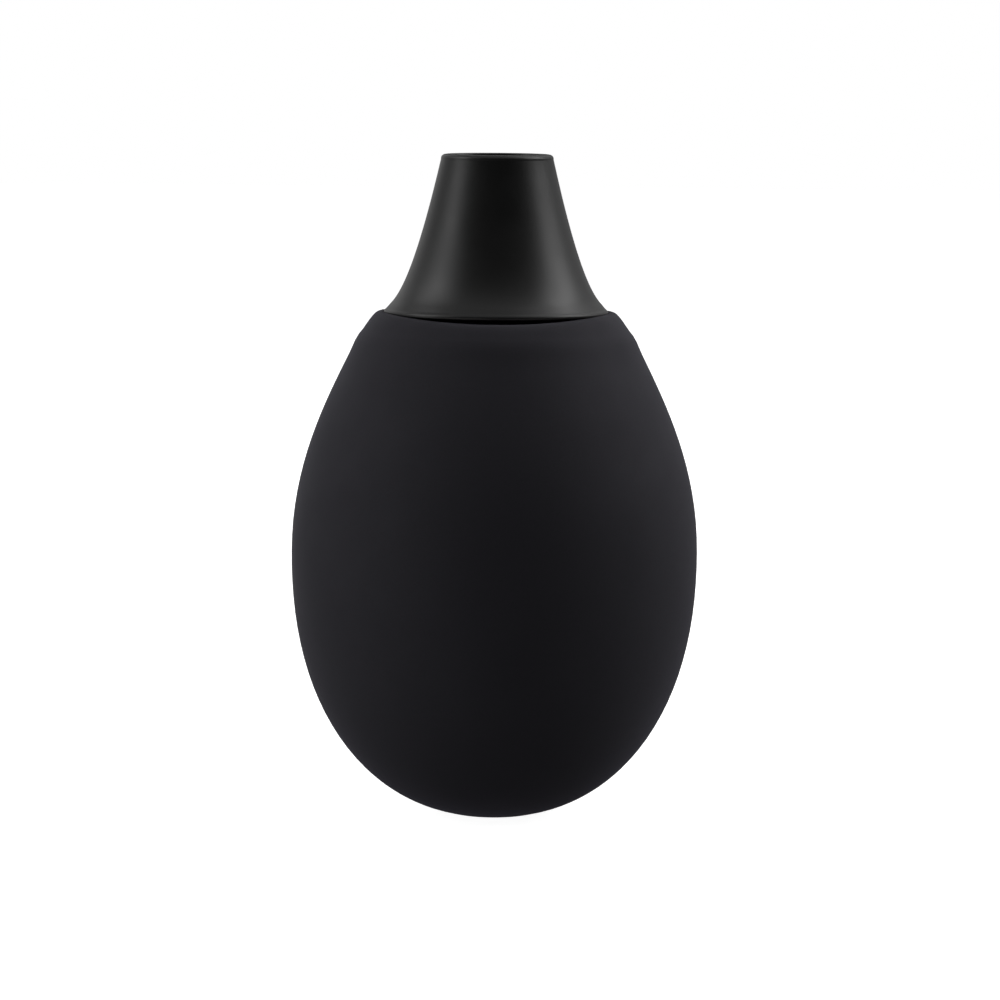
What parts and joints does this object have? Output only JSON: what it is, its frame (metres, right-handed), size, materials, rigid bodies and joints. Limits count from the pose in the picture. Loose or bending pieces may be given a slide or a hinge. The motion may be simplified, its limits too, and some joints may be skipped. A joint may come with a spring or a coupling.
{
  "type": "dust blower bulb",
  "caption": "Egg-shaped hand blower: a soft bulb under a flared nozzle with a slide-out jet, and a filtered intake valve in the base that is pressed to blow air.",
  "frame": {"origin": "centre of the flat ring under the bulb, which the blower stands on", "axes": "+Z along the bulb's axis from the base to the nozzle's mouth; the blower is round, so +X and +Y are any pair across it"},
  "size_m": [0.06, 0.06, 0.0976],
  "materials": {
    "black_silicone": "matt, faintly sheened",
    "satin_black_abs": "satin",
    "black_acetal": "satin",
    "grey_nylon": "matt",
    "seal_rubber": "matt",
    "filter_foam": "open foam",
    "valve_silicone": "smooth",
    "spring_steel": "bright"
  },
  "bodies": {
    "blower": {"bulb": "black_silicone", "nozzle_cone": "satin_black_abs", "neck_plug": "grey_nylon", "neck_clamp_ring": "black_acetal", "gland_nut": "black_acetal", "jet_o_ring": "seal_rubber"},
    "jet": {"jet_tube": "black_acetal", "jet_stop_ring": "spring_steel"},
    "intake": {"intake_ferrule": "black_acetal", "valve_housing": "grey_nylon", "intake_filter": "filter_foam", "valve_seat": "grey_nylon", "valve_cage": "grey_nylon"},
    "valve": {"valve_disc": "valve_silicone"}
  },
  "joints": [
    {"name": "jet_slide", "type": "slide", "parent": "blower", "child": "jet", "axis": [0, 0, 1], "range_m": [0, 0.03]},
    {"name": "base_press", "type": "slide", "parent": "blower", "child": "intake", "axis": [0, 0, 1], "range_m": [0, 0.012], "stiffness_N_per_m": 1500, "springref_m": -0.0005, "deforming": ["bulb"]},
    {"name": "valve_lift", "type": "slide", "parent": "intake", "child": "valve", "axis": [0, 0, 1], "range_m": [0, 0.0012]}
  ]
}
